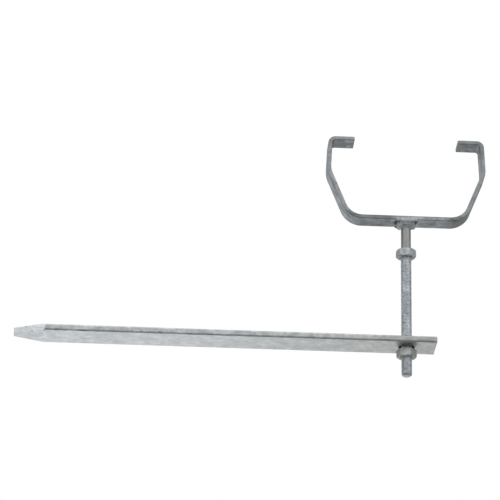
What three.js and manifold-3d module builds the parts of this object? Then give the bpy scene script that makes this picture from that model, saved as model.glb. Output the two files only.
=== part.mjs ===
// Rise-and-fall gutter bracket with a drive-in spike, in millimetres, +Z up.
//
// The origin is the middle of the cup's seat, the flat that a gutter stands on.
// +X points to the square end of the spike, which is struck with a hammer, and
// the spike's point lies towards -X. The stud hangs down along -Z.

import * as THREE from "three";
import { mergeVertices } from "three/addons/utils/BufferGeometryUtils.js";
import Module from "manifold-3d";

const wasm = await Module();
wasm.setup();

// Gap between faces that touch or are welded on the real bracket.
const GAP = 0.3;

// Cup: a flat strip bent to five sides, given along the middle of its thickness.
const STRIP_WIDTH = 20;
const STRIP_THICK = 4;
const CUP_HALF_FOOT = 55.6;
const CUP_HALF_WAIST = 75.4;
const CUP_HALF_TOP = 73.8;
const CUP_HALF_MOUTH = 50.4;
const CUP_WAIST_UP = 47;
const CUP_TOP_UP = 80;
const FOOT_BEND = 19.5;
const WAIST_BEND = 22;
const LIP_BEND = 5;

// Stud: an M10 rod, butt-welded under the cup, with a plain shank at its top.
const THREAD_DIAMETER = 10;
const SHANK_DIAMETER = 9.1;
const STUD_END_DOWN = 161.4;
const SHANK_END_DOWN = 34;
const STUD_END_CHAMFER = 1.5;

// Weld round the top of the stud: its legs, the thickness of its two toes, and how far
// out of the corner its bulging face is pulled, as a part of each leg.
const WELD_HEIGHT = 6;
const WELD_RADIUS = 9.8;
const WELD_TOE = 0.5;
const WELD_BULGE = 0.62;

// M10 nuts.
const NUT_ACROSS_FLATS = 17;
const NUT_HEIGHT = 8;
const NUT_FACE_RADIUS = 8.1;
const NUT_COUNTERSINK = 0.6;
// Where the nuts stop when they are tight: how far a corner is turned from the X axis.
const NUT_TURN = THREE.MathUtils.degToRad(-13);
const UPPER_NUT_DOWN = 32.3;
const LOWER_NUT_DOWN = 134.9;

// Spike: flat bar with a punched hole at one end and a sheared point at the other.
const BAR_WIDTH = 35;
const BAR_THICK = 6;
const BAR_EDGE_RADIUS = 1.7;
const BAR_TOP_DOWN = 126.4;
const BAR_SQUARE_END = 27.5;
const BAR_POINT_END = -372.5;
const BAR_HOLE_DIAMETER = 15;
const POINT_LENGTH = 30;
const POINT_WIDTH = 6.5;

const ROUND_SEGMENTS = 64;
const BEND_SEGMENTS = 12;

// How far a trimming or cutting body runs past the faces that it works on.
const CUT_PAST = 1;

const zinc = (tint, roughness) => new THREE.MeshStandardMaterial({
  color: tint, roughness, metalness: 0.85,
});

// A closed three.js geometry as a manifold solid.
function solid(geometry) {
  const bare = geometry.index ? geometry.toNonIndexed() : geometry.clone();
  bare.deleteAttribute("normal");
  bare.deleteAttribute("uv");
  const merged = mergeVertices(bare, 1e-4);
  return new wasm.Manifold(new wasm.Mesh({
    numProp: 3,
    vertProperties: Float32Array.from(merged.attributes.position.array),
    triVerts: Uint32Array.from(merged.index.array),
  }));
}

// A manifold solid as a three.js geometry.
function geometryOf(body) {
  const result = body.getMesh();
  const geometry = new THREE.BufferGeometry();
  geometry.setAttribute("position", new THREE.BufferAttribute(result.vertProperties, 3));
  geometry.setIndex(new THREE.BufferAttribute(result.triVerts, 1));
  geometry.computeVertexNormals();
  return geometry;
}

// A body turned about +Z from (radius, height) pairs, closed on the axis or on itself.
function turned(pairs) {
  const profile = pairs.map(([radius, height]) => new THREE.Vector2(radius, height));
  return new THREE.LatheGeometry(profile, ROUND_SEGMENTS).rotateX(Math.PI / 2);
}

// A prism standing on the XY plane, from its outline.
function prism(outline, height) {
  return new THREE.ExtrudeGeometry(outline, { depth: height, bevelEnabled: false });
}

function named(name, geometry, material) {
  const mesh = new THREE.Mesh(geometry, material);
  mesh.name = name;
  return mesh;
}

// A corner of a bent strip, as the points of the arc that runs round it.
function bendPoints(before, corner, after, radius) {
  const inward = before.clone().sub(corner).normalize();
  const outward = after.clone().sub(corner).normalize();
  const halfAngle = inward.angleTo(outward) / 2;
  const bisector = inward.clone().add(outward).normalize();
  const centre = corner.clone().addScaledVector(bisector, radius / Math.sin(halfAngle));
  const start = corner.clone().addScaledVector(inward, radius / Math.tan(halfAngle));
  const startArm = start.sub(centre);
  const turn = Math.sign(-inward.cross(outward)) * (Math.PI - 2 * halfAngle);
  return Array.from({ length: BEND_SEGMENTS + 1 }, (_, step) => {
    const arm = startArm.clone().rotateAround(new THREE.Vector2(), turn * step / BEND_SEGMENTS);
    return arm.add(centre);
  });
}

// The middle line of the right half of the cup, from the seat to the lip's end.
function halfCupLine() {
  const middle = -STRIP_THICK / 2;
  const corners = [
    new THREE.Vector2(0, middle),
    new THREE.Vector2(CUP_HALF_FOOT, middle),
    new THREE.Vector2(CUP_HALF_WAIST, CUP_WAIST_UP),
    new THREE.Vector2(CUP_HALF_TOP, CUP_TOP_UP),
    new THREE.Vector2(CUP_HALF_MOUTH, CUP_TOP_UP),
  ];
  const bends = [FOOT_BEND, WAIST_BEND, LIP_BEND];
  const line = [corners[0]];
  bends.forEach((radius, index) => {
    line.push(...bendPoints(corners[index], corners[index + 1], corners[index + 2], radius));
  });
  line.push(corners[4]);
  return line;
}

// One side of the strip: every point of the line moved square to it by distance.
function offsetLine(line, distance) {
  return line.map((point, index) => {
    const ahead = line[Math.min(index + 1, line.length - 1)];
    const behind = line[Math.max(index - 1, 0)];
    const along = ahead.clone().sub(behind).normalize();
    return new THREE.Vector2(point.x + along.y * distance, point.y - along.x * distance);
  });
}

function cupGeometry() {
  const half = halfCupLine();
  const mirrored = half.slice(1).reverse().map((point) => new THREE.Vector2(-point.x, point.y));
  const line = [...mirrored, ...half];
  const outer = offsetLine(line, STRIP_THICK / 2);
  const inner = offsetLine(line, -STRIP_THICK / 2);
  const outline = new THREE.Shape([...outer, ...inner.reverse()]);
  return prism(outline, STRIP_WIDTH).rotateX(Math.PI / 2).translate(0, STRIP_WIDTH / 2, 0);
}

function studGeometry() {
  const top = -STRIP_THICK - GAP;
  const shank = SHANK_DIAMETER / 2;
  const thread = THREAD_DIAMETER / 2;
  return turned([
    [0, -STUD_END_DOWN],
    [thread - STUD_END_CHAMFER, -STUD_END_DOWN],
    [thread, -STUD_END_DOWN + STUD_END_CHAMFER],
    [thread, -SHANK_END_DOWN - (thread - shank)],
    [shank, -SHANK_END_DOWN],
    [shank, top],
    [0, top],
  ]);
}

// A ring with a bulging face that runs from the stud out to the strip.
function weldGeometry() {
  const top = -STRIP_THICK - GAP;
  const inner = SHANK_DIAMETER / 2 + GAP;
  const studToe = new THREE.Vector2(inner + WELD_TOE, top - WELD_HEIGHT);
  const stripToe = new THREE.Vector2(WELD_RADIUS, top - WELD_TOE);
  const bulge = new THREE.Vector2(
    inner + (WELD_RADIUS - inner) * WELD_BULGE, top - WELD_HEIGHT * WELD_BULGE,
  );
  const face = new THREE.QuadraticBezierCurve(studToe, bulge, stripToe).getPoints(BEND_SEGMENTS);
  return turned([
    [inner, top - WELD_HEIGHT],
    ...face.map((point) => [point.x, point.y]),
    [WELD_RADIUS, top],
    [inner, top],
    [inner, top - WELD_HEIGHT],
  ]);
}

// A hexagon prism trimmed by a turned blank that holds its bore and chamfers.
function nutGeometry() {
  const cornerRadius = NUT_ACROSS_FLATS / Math.sqrt(3);
  const corners = Array.from({ length: 6 }, (_, index) => {
    const angle = NUT_TURN + index * Math.PI / 3;
    return new THREE.Vector2(cornerRadius * Math.cos(angle), cornerRadius * Math.sin(angle));
  });
  const bore = THREAD_DIAMETER / 2 + GAP;
  const blankRadius = cornerRadius + CUT_PAST;
  const chamfer = (blankRadius - NUT_FACE_RADIUS) * Math.tan(Math.PI / 6);
  const blank = turned([
    [bore, NUT_COUNTERSINK],
    [bore + NUT_COUNTERSINK, 0],
    [NUT_FACE_RADIUS, 0],
    [blankRadius, chamfer],
    [blankRadius, NUT_HEIGHT - chamfer],
    [NUT_FACE_RADIUS, NUT_HEIGHT],
    [bore + NUT_COUNTERSINK, NUT_HEIGHT],
    [bore, NUT_HEIGHT - NUT_COUNTERSINK],
    [bore, NUT_COUNTERSINK],
  ]);
  const hexagon = prism(new THREE.Shape(corners), NUT_HEIGHT + 2 * CUT_PAST);
  return geometryOf(solid(hexagon.translate(0, 0, -CUT_PAST)).intersect(solid(blank)));
}

// The rolled bar's section, with its four long edges rounded.
function barSection() {
  const halfWidth = BAR_WIDTH / 2;
  const halfThick = BAR_THICK / 2;
  const radius = BAR_EDGE_RADIUS;
  const section = new THREE.Shape();
  section.moveTo(halfWidth, -halfThick + radius);
  section.lineTo(halfWidth, halfThick - radius);
  section.absarc(halfWidth - radius, halfThick - radius, radius, 0, Math.PI / 2);
  section.lineTo(-halfWidth + radius, halfThick);
  section.absarc(-halfWidth + radius, halfThick - radius, radius, Math.PI / 2, Math.PI);
  section.lineTo(-halfWidth, -halfThick + radius);
  section.absarc(-halfWidth + radius, -halfThick + radius, radius, Math.PI, 1.5 * Math.PI);
  section.lineTo(halfWidth - radius, -halfThick);
  section.absarc(halfWidth - radius, -halfThick + radius, radius, 1.5 * Math.PI, 2 * Math.PI);
  return section;
}

// The corner that the shear takes off one side of the point (side is 1 or -1).
function pointOffcut(side) {
  const slope = (BAR_WIDTH - POINT_WIDTH) / 2 / POINT_LENGTH;
  const tip = new THREE.Vector2(-CUT_PAST, POINT_WIDTH / 2 - CUT_PAST * slope);
  const shoulder = new THREE.Vector2(POINT_LENGTH + CUT_PAST, BAR_WIDTH / 2 + CUT_PAST * slope);
  const corner = new THREE.Vector2(-CUT_PAST, shoulder.y);
  const outline = [tip, shoulder, corner].map((point) => new THREE.Vector2(point.x, side * point.y));
  const offcut = prism(new THREE.Shape(outline), BAR_THICK + 2 * CUT_PAST);
  return solid(offcut.translate(BAR_POINT_END, 0, -BAR_THICK / 2 - CUT_PAST));
}

function spikeGeometry() {
  const length = BAR_SQUARE_END - BAR_POINT_END;
  const bar = prism(barSection(), length).rotateX(Math.PI / 2).rotateZ(Math.PI / 2);
  bar.translate(BAR_POINT_END, 0, 0);
  const punch = new THREE.CylinderGeometry(
    BAR_HOLE_DIAMETER / 2, BAR_HOLE_DIAMETER / 2, BAR_THICK + 2 * CUT_PAST, ROUND_SEGMENTS,
  ).rotateX(Math.PI / 2);
  const cut = solid(bar).subtract(solid(punch)).subtract(pointOffcut(1)).subtract(pointOffcut(-1));
  return geometryOf(cut).translate(0, 0, -BAR_TOP_DOWN - BAR_THICK / 2);
}

const bracket = new THREE.Group();

const hanger = new THREE.Group();
hanger.add(named("cup", cupGeometry(), zinc(0x8f979b, 0.5)));
hanger.add(named("stud", studGeometry(), zinc(0xa4abae, 0.4)));
hanger.add(named("weld_bead", weldGeometry(), zinc(0x868d90, 0.6)));
bracket.add(hanger);

[["upper_nut", UPPER_NUT_DOWN], ["lower_nut", LOWER_NUT_DOWN]].forEach(([name, down]) => {
  const nut = named(name, nutGeometry(), zinc(0xa9b0b3, 0.35));
  nut.position.z = -down - NUT_HEIGHT;
  bracket.add(nut);
});

bracket.add(named("spike", spikeGeometry(), zinc(0xb0b6b8, 0.45)));

export default bracket;
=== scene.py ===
# %% [markdown]
# # A rise-and-fall gutter bracket in galvanised steel
#
# The bracket is four kinds of steel stock joined by one thread: a flat bar that is
# hammered into a wall, a threaded stud, two nuts, and a flat strip bent into a cup for a
# rain gutter. All of it was dipped in molten zinc, or plated with it. This lesson
# rebuilds each piece by the steps that made the real one: rolled, sheared, punched,
# bent, threaded and welded, and then gives each its own zinc skin.

# %% Load the frame
import math

import bpy
from mathutils import Matrix, Vector


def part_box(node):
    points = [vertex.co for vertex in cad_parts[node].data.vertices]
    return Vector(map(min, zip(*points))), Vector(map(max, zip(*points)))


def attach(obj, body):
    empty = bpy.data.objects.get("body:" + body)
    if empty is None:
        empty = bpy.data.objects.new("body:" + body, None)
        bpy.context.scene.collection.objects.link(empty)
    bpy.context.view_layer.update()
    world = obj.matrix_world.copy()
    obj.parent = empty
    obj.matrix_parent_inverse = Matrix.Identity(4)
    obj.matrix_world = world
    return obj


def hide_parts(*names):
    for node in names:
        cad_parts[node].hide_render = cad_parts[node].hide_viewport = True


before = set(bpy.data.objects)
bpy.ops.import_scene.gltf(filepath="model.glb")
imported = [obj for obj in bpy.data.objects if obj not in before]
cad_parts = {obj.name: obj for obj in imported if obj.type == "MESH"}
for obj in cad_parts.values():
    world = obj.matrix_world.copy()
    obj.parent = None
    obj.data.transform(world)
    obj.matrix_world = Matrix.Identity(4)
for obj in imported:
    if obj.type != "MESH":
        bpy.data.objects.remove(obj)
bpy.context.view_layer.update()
MM = 0.001
print("nodes:", sorted(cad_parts))

# %% [markdown]
# ## The camera
#
# The bracket is seen from a long way off through a long lens, from a little below, so
# that the undersides of the spike, the nuts and the cup all show. The camera could be
# aimed with a constraint, but its place is plain trigonometry, so it is worked out from
# an azimuth, an elevation and a roll, which can be changed one at a time.

# %% Camera
AIM = Vector((-149.5, 18.0, -29.8)) * MM
CAMERA_DISTANCE = 2900 * MM
CAMERA_AZIMUTH = math.radians(-2.76)
CAMERA_ELEVATION = math.radians(-22.66)
CAMERA_ROLL = math.radians(0.89)
CAMERA_LENS = 216
SENSOR_WIDTH = 36
SEE_AS_FAR_AS = 60


def camera_axes():
    """The camera's right, up and backward directions."""
    flat = math.cos(CAMERA_ELEVATION)
    back = Vector((
        math.sin(CAMERA_AZIMUTH) * flat,
        -math.cos(CAMERA_AZIMUTH) * flat,
        math.sin(CAMERA_ELEVATION),
    ))
    right = Vector((math.cos(CAMERA_AZIMUTH), math.sin(CAMERA_AZIMUTH), 0))
    up = back.cross(right)
    rolled_right = right * math.cos(CAMERA_ROLL) + up * math.sin(CAMERA_ROLL)
    rolled_up = up * math.cos(CAMERA_ROLL) - right * math.sin(CAMERA_ROLL)
    return rolled_right, rolled_up, back


camera_data = bpy.data.cameras.new("camera")
camera_data.lens = CAMERA_LENS
camera_data.sensor_width = SENSOR_WIDTH
camera_data.clip_end = SEE_AS_FAR_AS
camera = bpy.data.objects.new("camera", camera_data)
bpy.context.scene.collection.objects.link(camera)
turn = Matrix(camera_axes()).transposed()
camera.matrix_world = Matrix.Translation(AIM + camera_axes()[2] * CAMERA_DISTANCE) @ turn.to_4x4()
bpy.context.scene.camera = camera
print("camera at", [round(x, 3) for x in camera.matrix_world.translation])

# %% [markdown]
# ## Helpers for working as if by hand
#
# Every operator acts on whatever is selected, so a script has to do what the hand does
# without thinking: drop the old selection, then pick faces, edges or points by where
# they are. These few helpers do only that.

# %% Selection helpers
ELEMENTS = {"vertices": (True, False, False), "edges": (False, True, False),
            "polygons": (False, False, True)}
ALONG_ENOUGH = 0.99
DOUBLES_WITHIN = 0.002 * MM


def deselect_all():
    """Leave edit mode and select nothing."""
    if bpy.context.object and bpy.context.object.mode != "OBJECT":
        bpy.ops.object.mode_set(mode="OBJECT")
    bpy.ops.object.select_all(action="DESELECT")


def take(piece):
    """Make this piece the only selected one, and the active one."""
    deselect_all()
    piece.select_set(True)
    bpy.context.view_layer.objects.active = piece


def pick(piece, kind, wanted):
    """Go to edit mode with only the wanted vertices, edges or polygons selected."""
    take(piece)
    mesh = piece.data
    for name in ELEMENTS:
        group = getattr(mesh, name)
        group.foreach_set("select", [False] * len(group))
    chosen = [element for element in getattr(mesh, kind) if wanted(element)]
    for element in chosen:
        element.select = True
    bpy.context.tool_settings.mesh_select_mode = ELEMENTS[kind]
    bpy.ops.object.mode_set(mode="EDIT")
    return len(chosen)


def edge_along(piece, edge, axis):
    """True if an edge runs along an axis, 0 for X, 1 for Y and 2 for Z."""
    start, end = (piece.data.vertices[index].co for index in edge.vertices)
    run = end - start
    return abs(run[axis]) > ALONG_ENOUGH * run.length


def settle(piece, name):
    """Put a new primitive's place and size into its mesh, and name it."""
    take(piece)
    bpy.ops.object.transform_apply(location=True, rotation=True, scale=True)
    piece.name = name
    piece.data.name = name
    return piece


def finish_modifier(piece, kind, **settings):
    """Add a modifier and apply it at once."""
    take(piece)
    modifier = piece.modifiers.new(kind.lower(), kind)
    for key, value in settings.items():
        setattr(modifier, key, value)
    bpy.ops.object.modifier_apply(modifier=modifier.name)


def combine(piece, other, operation):
    """Cut, join or intersect two closed pieces. The other one is used up."""
    finish_modifier(piece, "BOOLEAN", object=other, operation=operation, solver="MANIFOLD")
    bpy.data.objects.remove(other)


def clean(piece, smooth_degrees=32):
    """Merge doubles, turn faces outwards, and shade round as round and flat as flat.

    Weighting the normals by face size keeps a big flat face flat next to its small bevels,
    so that it reflects as one even sheet.
    """
    pick(piece, "polygons", lambda face: True)
    bpy.ops.mesh.remove_doubles(threshold=DOUBLES_WITHIN)
    bpy.ops.mesh.normals_make_consistent(inside=False)
    take(piece)
    bpy.ops.object.shade_smooth_by_angle(angle=math.radians(smooth_degrees))
    finish_modifier(piece, "WEIGHTED_NORMAL", keep_sharp=True, weight=100)


def report(piece):
    """Say how large a piece is and how many faces it has."""
    size = [round(side / MM, 1) for side in piece.dimensions]
    print(piece.name, "mm", size, "faces", len(piece.data.polygons))


# %% [markdown]
# ## Bending the cup
#
# The real cup is a straight strip put through a press brake, which leaves flat runs
# with a round bend between them. It could be drawn as a curve with a section, but
# extruding and spinning one end of a short bar follows the brake itself: each straight
# run is an extrude, and each bend is a spin about the middle of the bend. Only half is
# bent, and the mirror makes the other.

# %% Lines of the cup
STRIP_THICK = 4 * MM
cup_low, cup_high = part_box("cup")
STRIP_MIDDLE = cup_low.z + STRIP_THICK / 2
# Half of the strip's middle line, from the seat's middle to the lip's end, as if its bends
# were sharp. Then the radius of each bend along that line.
CUP_CORNERS = [Vector((x * MM, z)) for x, z in (
    (0, STRIP_MIDDLE),
    (55.6, STRIP_MIDDLE),
    (75.4, 47 * MM),
    (73.8, cup_high.z - STRIP_THICK / 2),
    (50.4, cup_high.z - STRIP_THICK / 2),
)]
CUP_BENDS = [19.5 * MM, 22 * MM, 5 * MM]
BEND_STEPS = 14


def cup_moves():
    """Each straight run's length and direction, with the bend that follows it."""
    moves = []
    used = 0
    for index in range(len(CUP_CORNERS) - 1):
        run = CUP_CORNERS[index + 1] - CUP_CORNERS[index]
        heading = math.atan2(run.y, run.x)
        length = run.length - used
        radius, angle, used = 0, 0, 0
        if index < len(CUP_BENDS):
            ahead = CUP_CORNERS[index + 2] - CUP_CORNERS[index + 1]
            angle = (math.atan2(ahead.y, ahead.x) - heading) % (2 * math.pi)
            radius = CUP_BENDS[index]
            used = radius * math.tan(angle / 2)
        moves.append((length - used, heading, radius, angle))
    return moves


for length, heading, radius, angle in cup_moves():
    print("run", round(length / MM, 1), "mm, bend", round(math.degrees(angle), 1), "degrees")

# %% Bend and mirror the strip
STRIP_EDGE_ROUND = 0.8 * MM
MIRROR_MERGE = 0.01 * MM


def bent_strip():
    """The right half of the cup, from the seat's middle to its lip, then mirrored."""
    width = cup_high.y - cup_low.y
    first = cup_moves()[0][0]
    bpy.ops.mesh.primitive_cube_add(
        size=1, location=(first / 2, 0, STRIP_MIDDLE), scale=(first, width, STRIP_THICK))
    piece = settle(bpy.context.object, "cup_bent_strip")
    pick(piece, "polygons", lambda face: abs(face.normal.x) > 0.9 and face.center.x < first / 2)
    bpy.ops.mesh.delete(type="ONLY_FACE")
    pick(piece, "polygons", lambda face: face.normal.x > 0.9)
    here = Vector((0, 0, STRIP_MIDDLE))
    for number, (length, heading, radius, angle) in enumerate(cup_moves()):
        along = Vector((math.cos(heading), 0, math.sin(heading)))
        here = here + along * length
        if number:
            bpy.ops.mesh.extrude_region_move(
                TRANSFORM_OT_translate={"value": along * length})
        if angle:
            inward = Vector((-along.z, 0, along.x))
            centre = here + inward * radius
            bpy.ops.mesh.spin(
                steps=BEND_STEPS, angle=angle, center=centre, axis=(0, 1, 0))
            ahead = Vector((math.cos(heading + angle), 0, math.sin(heading + angle)))
            here = centre - Vector((-ahead.z, 0, ahead.x)) * radius
    bpy.ops.object.mode_set(mode="OBJECT")
    finish_modifier(piece, "MIRROR", use_axis=(True, False, False), use_clip=True,
                    merge_threshold=MIRROR_MERGE)
    return piece


cup = bent_strip()
finish_modifier(cup, "BEVEL", width=STRIP_EDGE_ROUND, segments=3, limit_method="ANGLE",
                angle_limit=math.radians(60))
clean(cup)
report(cup)

# %% [markdown]
# ## The spike
#
# Hot-rolled flat bar has round edges from the rolls. It is cropped to length, its point
# is sheared with two slanting cuts, and one hole is punched. A bevel gives the rolled
# edges first, and only then do the cuts come, because a cut through a rounded edge
# leaves the slanting corner that real sheared bar shows.

# %% Roll, shear and punch the bar
spike_low, spike_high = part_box("spike")
EDGE_ROUND = 1.7 * MM
POINT_LENGTH = 30 * MM
POINT_WIDTH = 6.5 * MM
HOLE_DIAMETER = 15 * MM
PUNCH_LENGTH = 20 * MM
CUT_ROUND = 0.35 * MM


def rolled_bar():
    """The flat bar with its four long edges rounded."""
    middle, size = (spike_low + spike_high) / 2, spike_high - spike_low
    bpy.ops.mesh.primitive_cube_add(size=1, location=middle, scale=size)
    piece = settle(bpy.context.object, "spike_flat_bar")
    pick(piece, "edges", lambda edge: edge_along(piece, edge, 0))
    bpy.ops.mesh.bevel(offset=EDGE_ROUND, segments=6, affect="EDGES")
    bpy.ops.object.mode_set(mode="OBJECT")
    return piece


def shear_point(piece, side):
    """One slanting cut of the point. Side is 1 for +Y and -1 for -Y."""
    half_width = spike_high.y
    shoulder = Vector((spike_low.x + POINT_LENGTH, side * half_width, 0))
    run = Vector((-POINT_LENGTH, side * (POINT_WIDTH / 2 - half_width), 0)).normalized()
    outwards = Vector((run.y, -run.x, 0)) * side
    pick(piece, "polygons", lambda face: True)
    bpy.ops.mesh.bisect(plane_co=shoulder, plane_no=outwards, use_fill=True,
                        clear_outer=True, clear_inner=False)
    bpy.ops.object.mode_set(mode="OBJECT")


def punch(piece):
    """The hole for the stud."""
    middle = (spike_low.z + spike_high.z) / 2
    bpy.ops.mesh.primitive_cylinder_add(
        vertices=72, radius=HOLE_DIAMETER / 2, depth=PUNCH_LENGTH, location=(0, 0, middle))
    combine(piece, settle(bpy.context.object, "punch"), "DIFFERENCE")


spike = rolled_bar()
for side in (1, -1):
    shear_point(spike, side)
punch(spike)
finish_modifier(spike, "BEVEL", width=CUT_ROUND, segments=2, limit_method="ANGLE",
                angle_limit=math.radians(50))
clean(spike, 28)
report(spike)

# %% [markdown]
# ## The stud and its thread
#
# The stud is an M10 rod. A rolled thread stands out of a rod of its pitch diameter, so
# the plain shank left at the top is thinner than the thread's crests. A texture could
# fake the thread, but its outline would stay straight. Here one tooth of the thread is
# screwed up the core, and a turned blank trims its crests, its chamfered end and the
# place where it runs out under the shank.

# %% Turned blanks
stud_low, stud_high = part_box("stud")
# How far the thread's crests stand outside the frame's plain cylinder.
CREST_PROUD = 0.06 * MM
CREST = (stud_high.x - stud_low.x) / 2 + CREST_PROUD
ROUND = 64


def turned(name, stations):
    """A round solid from (radius, height) stations, made by extruding a cylinder's end."""
    (radius, bottom), (first_radius, top) = stations[:2]
    bpy.ops.mesh.primitive_cone_add(
        vertices=ROUND, radius1=radius, radius2=first_radius, depth=top - bottom,
        location=(0, 0, (bottom + top) / 2))
    piece = settle(bpy.context.object, name)
    pick(piece, "polygons", lambda face: face.normal.z > 0.9 and len(face.vertices) == ROUND)
    now, height = first_radius, top
    for radius, up in stations[2:]:
        bpy.ops.mesh.extrude_region_move(TRANSFORM_OT_translate={"value": (0, 0, up - height)})
        shrink = radius / now
        bpy.ops.transform.resize(value=(shrink, shrink, 1), center_override=(0, 0, up))
        now, height = radius, up
    bpy.ops.object.mode_set(mode="OBJECT")
    return piece


# %% Thread the stud
PITCH = 1.5 * MM
ROOT = 4.66 * MM
SHANK = 4.75 * MM
SHANK_LENGTH = 29.7 * MM
END_CHAMFER = 1.5 * MM
THREAD_STEPS = 32
# Half the tooth's width at its foot and at its crest.
FLANK_HALF = 0.72 * MM
CREST_HALF = 0.24 * MM
# A small overlap, so that two solids cross instead of only touching.
TRIM = 0.05 * MM
RUN_OUT_TURNS = 2
SHANK_RISE = 0.4 * PITCH


def thread_tooth():
    """One tooth of the thread, screwed up the stud as a closed helical ridge."""
    bottom = stud_low.z - PITCH
    turns = math.ceil((stud_high.z - SHANK_LENGTH - bottom) / PITCH) + 1
    bpy.ops.mesh.primitive_circle_add(
        vertices=6, radius=PITCH / 2, fill_type="NOTHING", location=(ROOT, 0, bottom),
        rotation=(math.pi / 2, 0, 0))
    piece = settle(bpy.context.object, "thread_tooth")
    centre = (ROOT, 0, bottom)
    pick(piece, "vertices", lambda vertex: True)
    bpy.ops.transform.resize(value=(1, 1, FLANK_HALF / (PITCH / 2)), center_override=centre)
    pick(piece, "vertices", lambda vertex: vertex.co.x > ROOT + FLANK_HALF / 2)
    bpy.ops.transform.resize(value=(1, 1, 2 * CREST_HALF / FLANK_HALF), center_override=centre)
    bpy.ops.object.mode_set(mode="OBJECT")
    out = max(vertex.co.x for vertex in piece.data.vertices)
    pick(piece, "vertices", lambda vertex: vertex.co.x > ROOT + FLANK_HALF / 2)
    bpy.ops.transform.translate(value=(CREST + TRIM - out, 0, 0))
    bpy.ops.object.mode_set(mode="OBJECT")
    finish_modifier(piece, "SCREW", axis="Z", angle=2 * math.pi, screw_offset=PITCH,
                    iterations=turns, steps=THREAD_STEPS, render_steps=THREAD_STEPS)
    pick(piece, "vertices", lambda vertex: True)
    bpy.ops.mesh.fill_holes(sides=6)
    bpy.ops.mesh.normals_make_consistent(inside=False)
    bpy.ops.object.mode_set(mode="OBJECT")
    return piece


def threaded_stud():
    """Core and tooth joined, trimmed by a turned blank, with the plain shank on top."""
    shank_end = stud_high.z - SHANK_LENGTH
    piece = turned("stud_threaded_rod", [
        (ROOT + TRIM / 2, stud_low.z - PITCH), (ROOT + TRIM / 2, stud_high.z - PITCH)])
    combine(piece, thread_tooth(), "UNION")
    run_out = RUN_OUT_TURNS * PITCH
    combine(piece, turned("blank", [
        (CREST - END_CHAMFER, stud_low.z),
        (CREST, stud_low.z + END_CHAMFER),
        (CREST, shank_end - run_out),
        (SHANK - TRIM, shank_end),
        (SHANK - TRIM, stud_high.z - PITCH / 2),
    ]), "INTERSECT")
    combine(piece, turned("shank", [
        (ROOT - TRIM, shank_end - PITCH / 2),
        (SHANK, shank_end + SHANK_RISE),
        (SHANK, stud_high.z),
    ]), "UNION")
    return piece


stud = threaded_stud()
clean(stud, 30)
report(stud)

# %% [markdown]
# ## The nuts
#
# A hex nut is hexagonal bar, turned at both ends to a 30 degree cone, so each corner
# ends in a small curved edge. That curve comes by itself when a hexagon prism is
# intersected with a coned blank. One nut is made and the other is a copy with its own
# mesh, moved down the stud. Both are turned 13 degrees, because a nut comes to rest at any
# angle on its thread.

# %% Cut a nut from hexagonal bar
NUT_FLATS = 17 * MM
NUT_TURN = math.radians(-13)
NUT_FACE = 8.1 * MM
NUT_CONE = math.radians(30)
NUT_BORE = CREST + 0.1 * MM
NUT_SINK = 0.9 * MM
NUT_EDGE_ROUND = 0.6 * MM
BLANK_SPARE = 2 * MM


def hex_nut(low, high):
    """A chamfered nut in the middle of the box from low to high, and as high as it."""
    middle, height = (low + high) / 2, high.z - low.z
    corner = NUT_FLATS / math.sqrt(3)
    bpy.ops.mesh.primitive_cylinder_add(
        vertices=6, radius=corner, depth=height, location=middle,
        rotation=(0, 0, math.pi / 2 + NUT_TURN))
    piece = settle(bpy.context.object, "nut")
    far = corner + BLANK_SPARE
    cone = (far - NUT_FACE) * math.tan(NUT_CONE)
    combine(piece, turned("nut_blank", [
        (NUT_FACE, low.z + TRIM / 10), (far, low.z + cone), (far, high.z - cone),
        (NUT_FACE, high.z - TRIM / 10)]), "INTERSECT")
    combine(piece, turned("nut_bore", [
        (NUT_BORE + NUT_SINK + MM, low.z - MM), (NUT_BORE, low.z + NUT_SINK),
        (NUT_BORE, high.z - NUT_SINK), (NUT_BORE + NUT_SINK + MM, high.z + MM)]), "DIFFERENCE")
    finish_modifier(piece, "BEVEL", width=NUT_EDGE_ROUND, segments=3, limit_method="ANGLE",
                    angle_limit=math.radians(24))
    clean(piece, 35)
    return piece


upper_box, lower_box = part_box("upper_nut"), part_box("lower_nut")
upper_nut = hex_nut(*upper_box)
upper_nut.name = "upper_nut_hexagon"
take(upper_nut)
bpy.ops.object.duplicate(linked=False)
lower_nut = bpy.context.object
lower_nut.name = "lower_nut_hexagon"
lower_nut.location = lower_box[0] - upper_box[0]
settle(lower_nut, "lower_nut_hexagon")
report(upper_nut)
report(lower_nut)

# %% [markdown]
# ## The weld
#
# The stud is welded on by hand from below: a lumpy collar of a few overlapping beads
# that spreads over nearly the whole width of the strip and runs a little on to its front
# and back edges, then drowned in zinc. A turned collar gives its bulk, balls of metal round
# it give the beads, and flattened balls give the smears. A voxel remesh melts them into one
# skin, and a noise displacement breaks up what is still too even.

# %% Lay the weld
# The collar's outline in millimetres: how far out it is, and how far under the strip.
WELD_OUTLINE = [
    (4.8, 6.5), (5.4, 5.9), (6.6, 4.9), (8.0, 3.5), (9.2, 1.9), (9.6, 0.6), (9.6, -0.6)]
WELD_BEADS = 9
BEAD_ARM = 7.4 * MM
BEAD_DEPTH = 2.4 * MM
BEAD_SIZE = 2.1 * MM
# No hand lays beads evenly. Each wanders in and out and swells by a share of its arm and
# size, in steps of so many radians that no two beads come out alike.
FIRST_BEAD = 0.4
WANDER, WANDER_STEP = 0.08, 3.1
SWELL, SWELL_STEP = 0.25, 2.3
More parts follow.
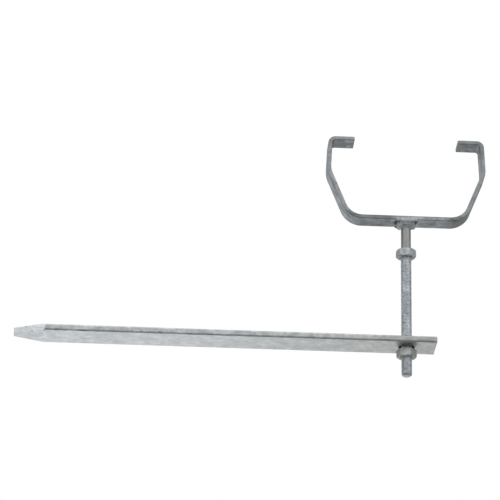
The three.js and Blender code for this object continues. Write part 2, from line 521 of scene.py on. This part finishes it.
# Metal that ran on to the strip's edges, in millimetres: along X, height, half-size.
SMEARS = [
    (-6, -3.6, (4.4, 1.0, 1.9)),
    (0.5, -3.9, (5.0, 1.2, 2.3)),
    (6.5, -3.7, (3.8, 1.1, 2.1)),
]
SMEAR_SUNK = 0.5 * MM
WELD_VOXEL = 0.35 * MM
WELD_LUMP = 0.9 * MM
WELD_LUMP_SIZE = 3.0 * MM


def weld_collar():
    """A bulging collar with a ring of beads and some smears on it, fused and roughened."""
    piece = turned("weld_collar", [
        (out * MM, cup_low.z - under * MM) for out, under in WELD_OUTLINE])
    for bead in range(WELD_BEADS):
        angle = 2 * math.pi * bead / WELD_BEADS + FIRST_BEAD
        arm = BEAD_ARM * (1 + WANDER * math.sin(WANDER_STEP * bead))
        swell = 1 + SWELL * math.cos(SWELL_STEP * bead)
        place = (arm * math.cos(angle), arm * math.sin(angle), cup_low.z - BEAD_DEPTH)
        bpy.ops.mesh.primitive_uv_sphere_add(
            segments=20, ring_count=12, location=place, radius=BEAD_SIZE * swell)
        combine(piece, settle(bpy.context.object, "bead"), "UNION")
    for along, up, half in SMEARS:
        for side in (1, -1):
            place = (side * along * MM, -side * (cup_high.y - SMEAR_SUNK), up * MM)
            bpy.ops.mesh.primitive_uv_sphere_add(
                segments=24, ring_count=12, radius=1, scale=Vector(half) * MM, location=place)
            combine(piece, settle(bpy.context.object, "smear"), "UNION")
    finish_modifier(piece, "REMESH", mode="VOXEL", voxel_size=WELD_VOXEL)
    finish_modifier(piece, "SMOOTH", factor=0.5, iterations=3)
    lumps = bpy.data.textures.new("weld_lumps", "CLOUDS")
    lumps.noise_scale = WELD_LUMP_SIZE
    finish_modifier(piece, "DISPLACE", texture=lumps, texture_coords="OBJECT",
                    strength=WELD_LUMP, mid_level=0.5)
    return piece


weld = weld_collar()
clean(weld, 60)
report(weld)

# %% [markdown]
# ## Tie the pieces to the frame
#
# Each finished piece stands for one solid of the design, and rides on the same moving
# body, so the cup, stud and weld rise and turn together, and each nut runs on its own.

# %% Replace and ride
REPLACEMENTS = {
    "cup": (cup, "hanger_body", "cup_zinc"),
    "stud": (stud, "hanger_body", "stud_zinc"),
    "weld_bead": (weld, "hanger_body", "weld_zinc"),
    "upper_nut": (upper_nut, "upper_nut_body", "nut_zinc"),
    "lower_nut": (lower_nut, "lower_nut_body", "nut_zinc"),
    "spike": (spike, "spike_body", "spike_zinc"),
}
for node, (piece, body, slot) in REPLACEMENTS.items():
    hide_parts(node)
    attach(piece, body)
    print(piece.name, "stands for", node, "on", body)

# %% [markdown]
# ## Zinc
#
# All the steel here wears zinc, but not the same zinc. A hot dip grows crystals, called
# spangle, a few millimetres across, each with its own shade and its own gloss, with
# grey clouds where the iron alloyed up to the surface, long runs where the melt drained,
# and a skin of grains and small lumps. So one recipe makes every zinc, and its numbers
# make the difference: pale and drained along its length on the spike, dark and dull on
# the cup, fine and soft on the nuts and the stud.
#
# Spangle is 3 to 5 mm across, which is common for a hot dip. Clouds and runs are as large
# as they look on the bracket. The grain of a zinc skin is well under a millimetre, too fine
# to show from here, so it is drawn as coarse as it needs to be, at 1.2 to 1.5 mm.

# %% Colour and node helpers


def linear(code):
    """An sRGB hex colour as linear RGBA."""
    channels = [int(code[start:start + 2], 16) / 255 for start in (1, 3, 5)]
    return [c / 12.92 if c <= 0.04045 else ((c + 0.055) / 1.055) ** 2.4 for c in channels] + [1]


def add(tree, kind, links=None, inputs=None, stops=None, **settings):
    """A node with its settings, fixed inputs, ramp stops and the sockets that feed it."""
    node = tree.nodes.new(kind)
    for key, value in settings.items():
        setattr(node, key, value)
    for key, value in (inputs or {}).items():
        node.inputs[key].default_value = value
    for key, socket in (links or {}).items():
        tree.links.new(socket, node.inputs[key])
    if stops:
        while len(node.color_ramp.elements) < len(stops):
            node.color_ramp.elements.new(0.5)
        for element, (position, shade) in zip(node.color_ramp.elements, stops):
            element.position = position
            element.color = linear(shade) if isinstance(shade, str) else [shade] * 3 + [1]
    return node


def per_metre(size):
    """The noise scale that gives features of this size in metres."""
    return 1 / size


# The sockets of a Mix node that mixes colours.
AMOUNT, UNDER, OVER, MIXED = 0, 6, 7, 2


# %% The zinc recipe
def zinc(name, pale, grey, dark, spangle, cloud, grain, gloss, spangle_shade, seed,
         run=(1, 1, 1), streaks=0.75, grain_shade=0.82, lump_height=0.05 * MM,
         grain_height=0.012 * MM):
    """A galvanised skin.

    Spangle, cloud, grain and the two heights are sizes in metres. Run says how much each
    axis counts in the streaks, so a small number draws them out along it. Gloss is the
    roughness of the shiniest and the dullest crystal. Streaks is how much of the dark
    tint a run may take, spangle_shade how much darker the darkest crystal is, and
    grain_shade the shade between the grains. Seed moves the pattern, so that no two pieces
    match.
    """
    material = bpy.data.materials.new(name)
    material.use_nodes = True
    tree = material.node_tree
    shader = tree.nodes["Principled BSDF"]
    place = add(tree, "ShaderNodeTexCoord").outputs["Object"]
    moved = add(tree, "ShaderNodeMapping", {"Vector": place},
                {"Location": (0.13 * seed, 0.07 * seed, 0.05 * seed)}).outputs["Vector"]
    drained = add(tree, "ShaderNodeMapping", {"Vector": moved}, {"Scale": run}).outputs["Vector"]

    crystals = add(tree, "ShaderNodeTexVoronoi", {"Vector": moved},
                   {"Scale": per_metre(spangle), "Randomness": 1.0})
    facet = add(tree, "ShaderNodeSeparateColor", {"Color": crystals.outputs["Color"]})
    clouds = add(tree, "ShaderNodeTexNoise", {"Vector": moved},
                 {"Scale": per_metre(cloud), "Detail": 5.0, "Roughness": 0.62}).outputs["Fac"]
    runs = add(tree, "ShaderNodeTexNoise", {"Vector": drained},
               {"Scale": per_metre(cloud / 3), "Detail": 6.0, "Roughness": 0.6}).outputs["Fac"]
    grains = add(tree, "ShaderNodeTexNoise", {"Vector": moved},
                 {"Scale": per_metre(grain), "Detail": 4.0, "Roughness": 0.7}).outputs["Fac"]

    # Clouds between two tints, runs of a third, then crystals and grains multiplied in.
    cloudy = add(tree, "ShaderNodeValToRGB", {"Fac": clouds}, stops=[(0.36, grey), (0.62, pale)])
    streak = add(tree, "ShaderNodeValToRGB", {"Fac": runs},
                 stops=[(0.34, streaks), (0.5, streaks / 6), (0.62, 0.0)])
    streaked = add(tree, "ShaderNodeMix",
                   {AMOUNT: streak.outputs["Color"], UNDER: cloudy.outputs["Color"]},
                   {OVER: linear(dark)}, data_type="RGBA")
    crystal = add(tree, "ShaderNodeValToRGB", {"Fac": facet.outputs["Red"]},
                  stops=[(0.0, 1 - spangle_shade), (1.0, 1.0)])
    spangled = add(tree, "ShaderNodeMix",
                   {UNDER: streaked.outputs[MIXED], OVER: crystal.outputs["Color"]},
                   {AMOUNT: 1.0}, data_type="RGBA", blend_type="MULTIPLY")
    grainy = add(tree, "ShaderNodeValToRGB", {"Fac": grains},
                 stops=[(0.3, grain_shade), (0.6, 1.0)])
    skin = add(tree, "ShaderNodeMix",
               {UNDER: spangled.outputs[MIXED], OVER: grainy.outputs["Color"]},
               {AMOUNT: 1.0}, data_type="RGBA", blend_type="MULTIPLY")
    tree.links.new(skin.outputs[MIXED], shader.inputs["Base Color"])

    # Each crystal has its own gloss, and a grey cloud dulls it.
    sheen = add(tree, "ShaderNodeMath", {0: facet.outputs["Green"], 1: clouds},
                operation="MULTIPLY")
    roughness = add(tree, "ShaderNodeMapRange", {"Value": sheen.outputs[0]},
                    {"From Min": 0.0, "From Max": 0.6, "To Min": gloss[1], "To Max": gloss[0]})
    tree.links.new(roughness.outputs["Result"], shader.inputs["Roughness"])
    shader.inputs["Metallic"].default_value = 1.0

    # The runs stand up as lumps, and the grains roughen them.
    lumps = add(tree, "ShaderNodeBump", {"Height": runs},
                {"Strength": 1.0, "Distance": lump_height})
    grit = add(tree, "ShaderNodeBump", {"Height": grains, "Normal": lumps.outputs["Normal"]},
               {"Strength": 1.0, "Distance": grain_height})
    tree.links.new(grit.outputs["Normal"], shader.inputs["Normal"])
    return material


def lay_over(material, code, *masks, blend="MIX"):
    """Lay a colour over a zinc where all the masks meet, or multiply it in to keep grain."""
    tree = material.node_tree
    base = tree.nodes["Principled BSDF"].inputs["Base Color"]
    amount = masks[0]
    for mask in masks[1:]:
        amount = add(tree, "ShaderNodeMath", {0: amount, 1: mask},
                     operation="MULTIPLY").outputs[0]
    mixed = add(tree, "ShaderNodeMix", {AMOUNT: amount, UNDER: base.links[0].from_socket},
                {OVER: linear(code)}, data_type="RGBA", blend_type=blend)
    tree.links.new(mixed.outputs[MIXED], base)


def blotches(material, size, least, most):
    """A patchy amount between two limits, with patches of one size in metres."""
    tree = material.node_tree
    place = add(tree, "ShaderNodeTexCoord").outputs["Object"]
    noise = add(tree, "ShaderNodeTexNoise", {"Vector": place},
                {"Scale": per_metre(size), "Detail": 4.0, "Roughness": 0.6}).outputs["Fac"]
    return add(tree, "ShaderNodeMapRange", {"Value": noise},
               {"From Min": 0.35, "From Max": 0.6, "To Min": least, "To Max": most}
               ).outputs["Result"]


def scratches(material, size, stretch, threshold):
    """Sparse short streaks, along the axis that the stretch counts least."""
    tree = material.node_tree
    place = add(tree, "ShaderNodeTexCoord").outputs["Object"]
    drawn_out = add(tree, "ShaderNodeMapping", {"Vector": place}, {"Scale": stretch})
    noise = add(tree, "ShaderNodeTexNoise", {"Vector": drawn_out.outputs["Vector"]},
                {"Scale": per_metre(size), "Detail": 3.0, "Roughness": 0.5}).outputs["Fac"]
    return add(tree, "ShaderNodeMapRange", {"Value": noise},
               {"From Min": threshold, "From Max": threshold + 0.06}).outputs["Result"]


# %% A zinc for each piece
MATERIALS = {
    # Hot-dip galvanised flat bar: pale blue-grey, fine grained, drained along its length.
    spike: zinc("hot_dip_galvanised_flat_bar", "#E2E6E9", "#D8DDE0", "#BCC2C5",
                spangle=4 * MM, cloud=12 * MM, grain=1.5 * MM, run=(0.3, 1, 1), seed=1,
                spangle_shade=0.06, grain_shade=0.88, streaks=0.4, lump_height=0.02 * MM,
                gloss=(0.4, 0.5)),
    # Hot-dip galvanised bent strip: darker, dull where the bends were worked.
    cup: zinc("hot_dip_galvanised_bent_strip", "#C6CBCE", "#A8AEB1", "#7E8487",
              spangle=5 * MM, cloud=15 * MM, grain=1.4 * MM, run=(0.4, 1, 0.4), seed=2,
              spangle_shade=0.15, gloss=(0.48, 0.64)),
    # Galvanised rolled thread: fine grained, its roots dulled by thick zinc.
    stud: zinc("galvanised_rolled_thread", "#E4EAED", "#CDD4D8", "#A6ADB1",
               spangle=3 * MM, cloud=7 * MM, grain=1.4 * MM, seed=3, spangle_shade=0.2,
               grain_shade=0.75, gloss=(0.42, 0.55)),
    # As-welded metal under a hot dip: lumpy, pale and matt.
    weld: zinc("hot_dip_galvanised_weld", "#E0E5E7", "#C9CFD2", "#9AA0A3",
               spangle=3 * MM, cloud=6 * MM, grain=1.2 * MM, seed=4, spangle_shade=0.15,
               gloss=(0.6, 0.75)),
    # Spun galvanised nut: pale, soft edged, with a fine grain. The lower nut wears a copy of this
    # zinc with paler tints, painted light.
    upper_nut: zinc("spun_galvanised_nut_upper", "#D8DEE0", "#C0C7CA", "#9AA1A4",
                    spangle=4 * MM, cloud=7 * MM, grain=1.2 * MM, seed=5, spangle_shade=0.15,
                    gloss=(0.5, 0.68)),
    lower_nut: zinc("spun_galvanised_nut_lower_painted_paler", "#E0E4E2", "#CBD0CE", "#A6ACAA",
                    spangle=4 * MM, cloud=7 * MM, grain=1.2 * MM, seed=6, spangle_shade=0.15,
                    gloss=(0.5, 0.68)),
}
for piece, material in MATERIALS.items():
    piece.data.materials.clear()
    piece.data.materials.append(material)
    print(piece.name, "wears", material.name)

# %% [markdown]
# ## Marks that belong to one place
#
# Some marks follow the bracket's shape, so each gets masks worked out from where it is.
# The bar's rolled edges carry a greyer, blotched band, partly its own tone and partly
# painted shade, with a thin dark line painted along each corner as a reflection of the dark
# room below. The cuts of the point took the rolled edge away, so the band stops there. Towards
# its square end the bar is painted darker, as shade, and is a little warmer and more speckled,
# and at its point a little duller. The wall of the punched hole is rough, and painted nearly
# black as the shade inside it. The plain shank above the thread is browner and duller. On the
# cup the left half of the seat, low down, and its front edge are painted darker as shade, with
# a dark line of painted shade along the seat's upper front corner. The tops of the arms and the
# right side are duller, and the inner corner of the right foot has a brown stain, most likely
# rust. Beside the weld two pits are painted dark, as the shade in them.

# %% Mask helpers


def along_axis(material, axis, nothing_at, full_at, most=1.0):
    """A mask that goes from 0 to its most between two places on an axis."""
    tree = material.node_tree
    place = add(tree, "ShaderNodeTexCoord").outputs["Object"]
    value = add(tree, "ShaderNodeSeparateXYZ", {"Vector": place}).outputs[axis]
    return add(tree, "ShaderNodeMapRange", {"Value": value}, {
        "From Min": nothing_at, "From Max": full_at, "To Max": most}).outputs["Result"]


def by_distance(material, nothing_at, full_at, most=1.0, middle=(0, 0, 0), counts=(1, 1, 1)):
    """A mask by the distance from a middle. Counts says how much each axis counts."""
    tree = material.node_tree
    place = add(tree, "ShaderNodeTexCoord").outputs["Object"]
    offset = add(tree, "ShaderNodeVectorMath", {0: place}, {1: middle}, operation="SUBTRACT")
    counted = add(tree, "ShaderNodeVectorMath", {0: offset.outputs["Vector"]}, {1: counts},
                  operation="MULTIPLY")
    distance = add(tree, "ShaderNodeVectorMath", {0: counted.outputs["Vector"]},
                   operation="LENGTH").outputs["Value"]
    return add(tree, "ShaderNodeMapRange", {"Value": distance}, {
        "From Min": nothing_at, "From Max": full_at, "To Max": most}).outputs["Result"]


# Distance from the middle plane of the strip and the bar, and from the stud's axis.
FROM_MIDDLE_PLANE = (0, 1, 0)
FROM_AXIS = (1, 1, 0)

# %% Marks on the spike
# The two bands keep clear of the point's slanting cuts, and are measured inwards from the
# bar's long edges.
spike_zinc = MATERIALS[spike]
BAR_EDGE = spike_high.y
SHOULDER = spike_low.x + POINT_LENGTH
past_point = along_axis(spike_zinc, "X", SHOULDER - 1.5 * MM, SHOULDER)
# The band along each long edge is partly the bar's own blotched grey and partly painted shade,
# which darkens the edge's bright front face.
rolled_edge_tone_and_shade = by_distance(spike_zinc, BAR_EDGE - 1.3 * MM, BAR_EDGE - 0.5 * MM,
                          counts=FROM_MIDDLE_PLANE)
lay_over(spike_zinc, "#B0B5B8", past_point, rolled_edge_tone_and_shade,
         blotches(spike_zinc, 7 * MM, least=0.0, most=1.0))
# A thin dark line painted along each rounded corner: a painted reflection of the darker room
# below.
painted_corner_shade_in = by_distance(spike_zinc, BAR_EDGE - 2.2 * MM, BAR_EDGE - 1.4 * MM,
                        counts=FROM_MIDDLE_PLANE)
painted_corner_shade_out = by_distance(spike_zinc, BAR_EDGE - 0.3 * MM, BAR_EDGE - 0.7 * MM,
                         counts=FROM_MIDDLE_PLANE)
lay_over(spike_zinc, "#84898C", past_point, painted_corner_shade_in, painted_corner_shade_out,
         blotches(spike_zinc, 5 * MM, least=0.0, most=0.6))
# Towards the square end the bar is painted darker and a little warmer: painted shade where less
# light reaches it. The speckle laid on top is the zinc's own.
# The speckle of a real skin is finer. It is drawn at 2 mm, as coarse as it needs to show.
square_end_shade_and_speckle = along_axis(spike_zinc, "X", -200 * MM, 10 * MM)
lay_over(spike_zinc, "#F4F2ED", square_end_shade_and_speckle, blend="MULTIPLY")
lay_over(spike_zinc, "#9C9F9D", square_end_shade_and_speckle, blotches(spike_zinc, 2 * MM, least=0.0, most=0.45))
tip = along_axis(spike_zinc, "X", -335 * MM, -365 * MM)
lay_over(spike_zinc, "#F5F6F7", tip, blend="MULTIPLY")
# Short streaks along the bar.
lay_over(spike_zinc, "#8B9093", scratches(spike_zinc, 2.5 * MM, (0.2, 1, 1), threshold=0.65))
# The wall of the punched hole is painted nearly black: painted shade inside the hole.
hole_wall_painted_shade = by_distance(spike_zinc, HOLE_DIAMETER / 2 + 0.5 * MM, HOLE_DIAMETER / 2,
                        counts=FROM_AXIS)
lay_over(spike_zinc, "#2A2C2D", hole_wall_painted_shade)
print("rolled edges, square end, tip, scratches and hole wall shaded")

# %% Marks on the stud
stud_zinc = MATERIALS[stud]
plain_shank = along_axis(stud_zinc, "Z", -36 * MM, -33 * MM, most=0.85)
lay_over(stud_zinc, "#939491", plain_shank)
print("plain shank dulled")

# %% Marks on the cup and the weld
cup_zinc, weld_zinc = MATERIALS[cup], MATERIALS[weld]
STAIN_MIDDLE = Vector((47, -10, -1)) * MM
stain = by_distance(cup_zinc, 9 * MM, 3 * MM, middle=STAIN_MIDDLE)
lay_over(cup_zinc, "#6B6255", stain, blotches(cup_zinc, 3 * MM, least=0.1, most=0.9))
# The left half of the seat, low down, painted darker as shade, and more of the same painted shade
# on its front edge.
left_seat_painted_shade = along_axis(cup_zinc, "X", -8 * MM, -16 * MM)
# Low is the height below which the painted shade reaches, at half strength.
low = along_axis(cup_zinc, "Z", 4 * MM, 1 * MM, most=0.5)
lay_over(cup_zinc, "#7F8589", left_seat_painted_shade, low)
front_edge_painted_shade = along_axis(cup_zinc, "Y", -9.2 * MM, -9.8 * MM)
lay_over(cup_zinc, "#6F7579", front_edge_painted_shade, left_seat_painted_shade, low)
# A dark line of painted shade along the seat's upper front corner.
corner_line_shade_from = along_axis(cup_zinc, "Z", -1.4 * MM, -0.7 * MM)
corner_line_shade_to = along_axis(cup_zinc, "Z", 0.8 * MM, 0.2 * MM, most=0.5)
lay_over(cup_zinc, "#5A5E60", front_edge_painted_shade, corner_line_shade_from, corner_line_shade_to)
# The tops of the arms with the lips, then the right side.
lay_over(cup_zinc, "#8A8F92", along_axis(cup_zinc, "Z", 55 * MM, 78 * MM, most=0.55))
lay_over(cup_zinc, "#8A8F92", along_axis(cup_zinc, "X", 38 * MM, 58 * MM, most=0.42))

# Each pit's painted shade: its middle and how far it reaches, in millimetres. It is long across
# the strip.
WELD_PIT_SHADES = [((-10.2, -1.714, -4.2), 2.6), ((9.8, -3.429, -4.2), 1.9)]
PIT_COUNTS = (1, 0.35, 1)
# The share of its reach within which a pit's painted shade is darkest.
PIT_FLOOR = 0.4
for middle, reach in WELD_PIT_SHADES:
    for finish in (cup_zinc, weld_zinc):
        pit_shade = by_distance(finish, reach * MM, PIT_FLOOR * reach * MM, most=0.85,
                          middle=Vector(middle) * MM, counts=PIT_COUNTS)
        lay_over(finish, "#34383A", pit_shade)
print("stain, dull seat, dull arms and weld pits laid over")

# %% [markdown]
# ## Floor and sky
#
# Metal shows what is round it, so its shading is mostly the room's. A white tent would
# make it flat. This room is a plain grey sky, paler above than below, with soft bright
# patches where studio lights would stand, each placed where one kind of face reflects it.
# Two faint dark flags take light away from the stud's sides. Area lamps could do the same,
# but a patch of sky lies in the same direction from every piece, so one patch serves a
# whole row of faces. The floor is far below, because the camera looks up at the bracket
# from under it.

# %% Floor
FLOOR_DROP = 4.5
FLOOR_SIZE = 14


def lay_floor():
    """A pale matt floor that the metal doesn't reflect."""
    bpy.ops.mesh.primitive_plane_add(size=FLOOR_SIZE, location=(0, 0, -FLOOR_DROP))
    floor = settle(bpy.context.object, "floor")
    paint = bpy.data.materials.new("pale_painted_floor")
    paint.use_nodes = True
    surface = paint.node_tree.nodes["Principled BSDF"]
    surface.inputs["Base Color"].default_value = linear("#E4E4E2")
    surface.inputs["Roughness"].default_value = 0.8
    floor.data.materials.append(paint)
    floor.visible_glossy = False


lay_floor()
print("floor", FLOOR_DROP, "m below")

# %% Sky
ROOM_BELOW = 0.38
ROOM_ABOVE = 0.56
# The heights, as Z of a direction, between which the room goes from below to above.
ROOM_TURNS = (-0.35, 0.1)
# A direction, how many degrees from it the full middle and the soft edge reach, and the
# strength.
SKY_PATCHES = [
    # In front, high and left: mostly the near cut of the spike's point.
    ((-0.72, -0.58, 0.38), 14, 38, 0.5),
    # In front, high and right: mostly the right side of the stud.
    ((0.68, -0.62, 0.36), 10, 36, 0.8),
    # Behind and low: the flat undersides of the spike and the cup.
    ((-0.2, 0.92, -0.39), 10, 32, 0.79),
    # Behind and left: the cup's left slanted side.
    ((-0.5, 0.86, 0.1), 12, 36, 0.3),
    # Overhead and wide: every face that looks to the front.
    ((0, -0.3, 1), 25, 60, 0.7),
    # The flags, right and left, which darken the stud's sides.
    ((0.75, 0.25, 0.6), 12, 40, -0.15),
    ((-0.75, 0.2, 0.62), 12, 40, -0.2),
]


def sky_patch(tree, direction, towards, inner, outer, amount):
    """A soft patch of sky: amount within inner degrees of a direction, nothing past outer."""
    cosine = add(tree, "ShaderNodeVectorMath", {0: direction},
                 {1: Vector(towards).normalized()}, operation="DOT_PRODUCT")
    return add(tree, "ShaderNodeMapRange", {"Value": cosine.outputs["Value"]}, {
        "From Min": math.cos(math.radians(outer)), "From Max": math.cos(math.radians(inner)),
        "To Min": 0.0, "To Max": amount}, interpolation_type="SMOOTHSTEP").outputs["Result"]


def make_sky():
    """White behind the bracket; for lighting, a grey room with soft patches."""
    world = bpy.data.worlds.new("studio")
    bpy.context.scene.world = world
    world.use_nodes = True
    tree = world.node_tree
    tree.nodes.clear()
    direction = add(tree, "ShaderNodeTexCoord").outputs["Generated"]
    height = add(tree, "ShaderNodeSeparateXYZ", {"Vector": direction}).outputs["Z"]
    strength = add(tree, "ShaderNodeMapRange", {"Value": height}, {
        "From Min": ROOM_TURNS[0], "From Max": ROOM_TURNS[1],
        "To Min": ROOM_BELOW, "To Max": ROOM_ABOVE},
        interpolation_type="SMOOTHSTEP").outputs["Result"]
    for patch in SKY_PATCHES:
        strength = add(tree, "ShaderNodeMath",
                       {0: strength, 1: sky_patch(tree, direction, *patch)},
                       operation="ADD").outputs[0]
    lit = add(tree, "ShaderNodeBackground", {"Strength": strength},
              {"Color": linear("#FFFFFF")})
    seen = add(tree, "ShaderNodeBackground", inputs={"Color": linear("#FFFFFF"), "Strength": 1.0})
    camera_ray = add(tree, "ShaderNodeLightPath").outputs["Is Camera Ray"]
    mixed = add(tree, "ShaderNodeMixShader", {
        0: camera_ray, 1: lit.outputs["Background"], 2: seen.outputs["Background"]})
    add(tree, "ShaderNodeOutputWorld", {"Surface": mixed.outputs["Shader"]})


make_sky()
bpy.context.scene.view_settings.view_transform = "Standard"
bpy.context.scene.view_settings.look = "None"
print("sky set, with", len(SKY_PATCHES), "patches")
